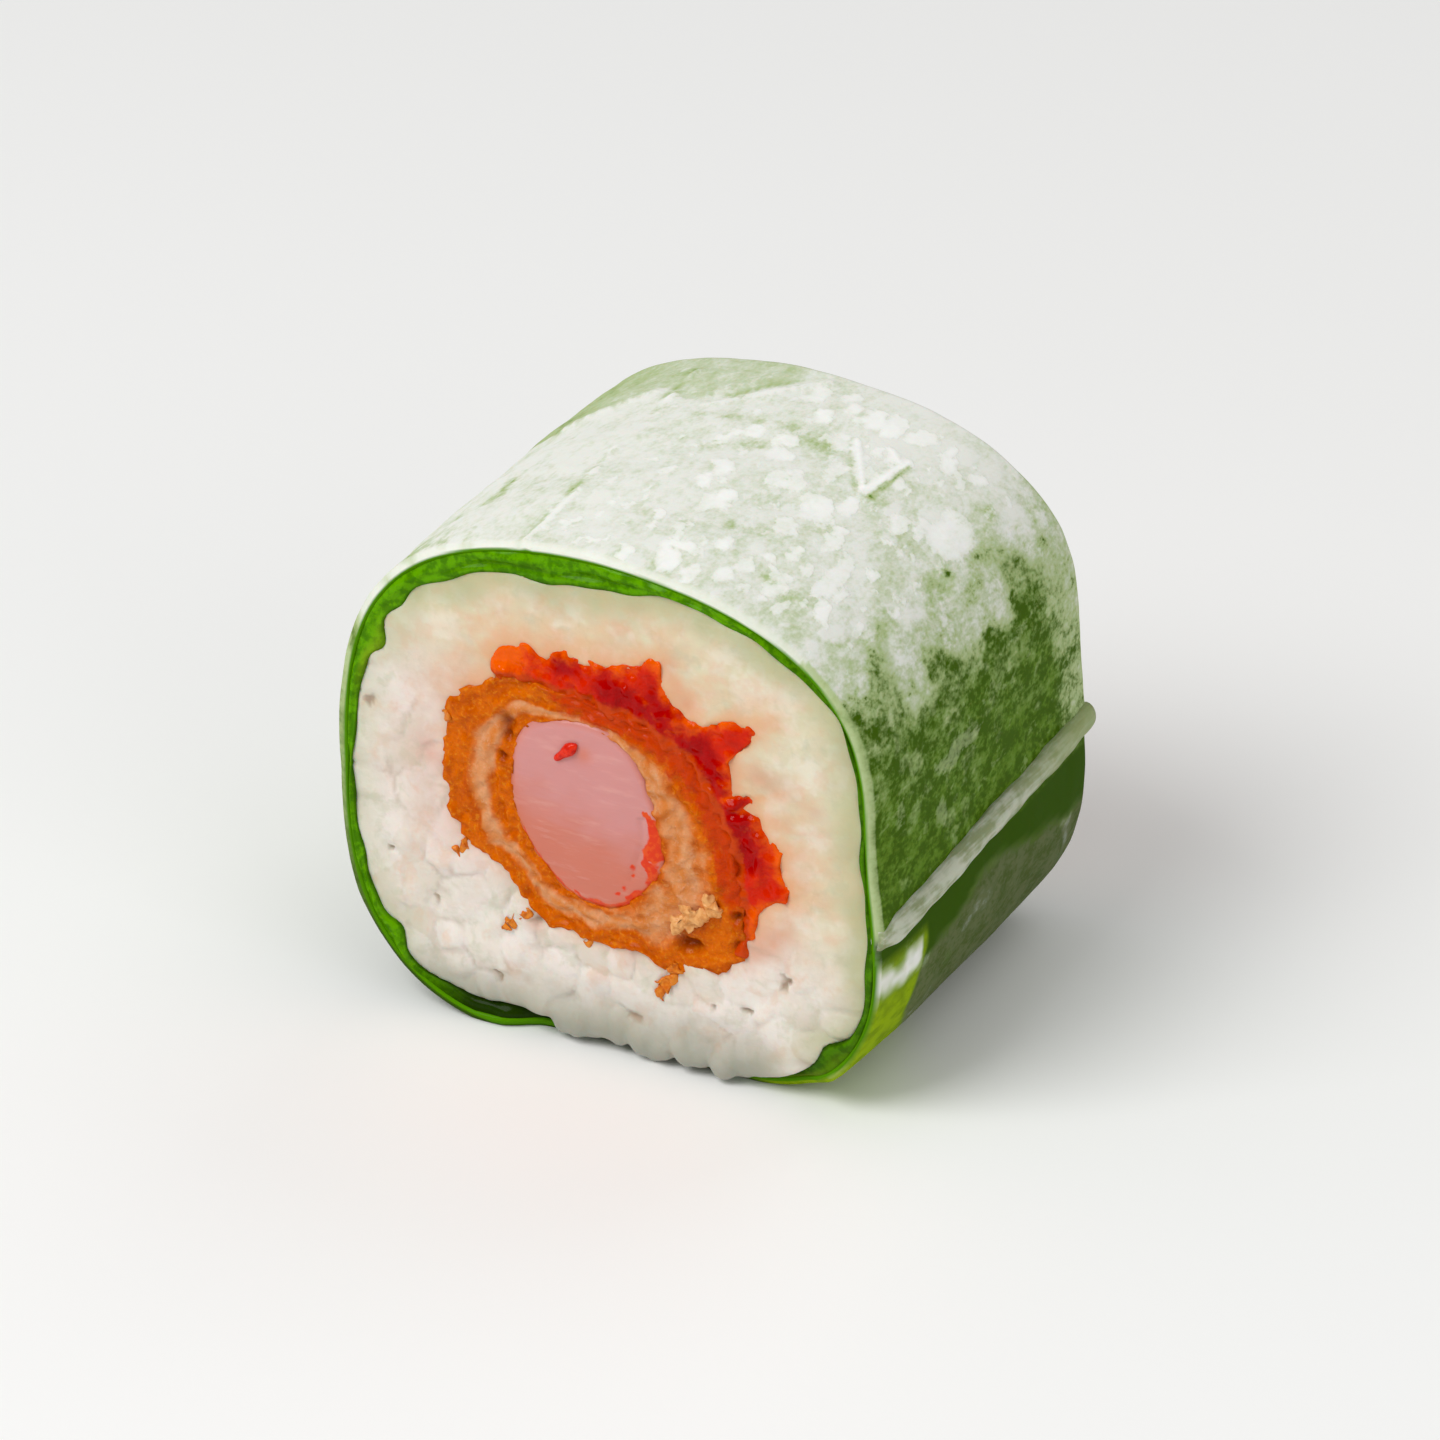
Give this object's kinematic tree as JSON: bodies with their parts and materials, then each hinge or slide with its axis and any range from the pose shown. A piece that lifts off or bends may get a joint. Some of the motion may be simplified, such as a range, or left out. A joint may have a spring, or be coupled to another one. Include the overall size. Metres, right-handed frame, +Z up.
{
  "type": "shrimp tempura roll piece",
  "caption": "Cut piece of a shrimp tempura roll: battered shrimp and chilli sauce in rice, wrapped in lettuce and rice paper.",
  "frame": {"origin": "on the resting plane, under the middle of the piece", "axes": "+X across the piece towards the side with the rice paper's free edge, +Y along the roll from the shown cut face to the other one, +Z up"},
  "size_m": [0.044, 0.0378, 0.0391],
  "materials": {
    "rice_paper": "damp, see-through rice paper with pale starch blotches and fine creases",
    "lettuce": "fresh green leaf, brighter at its cut edge",
    "rice": "soft cooked rice, stained peach near the sauce",
    "sauce": "glossy lumpy red chilli sauce",
    "batter": "fried batter, orange-brown crust and paler inside",
    "shrimp": "moist pink shrimp meat with an orange-red edge"
  },
  "bodies": {
    "root": {"rice_paper": "rice_paper", "lettuce": "lettuce", "rice": "rice", "sauce": "sauce", "batter": "batter", "shrimp": "shrimp"}
  },
  "joints": []
}
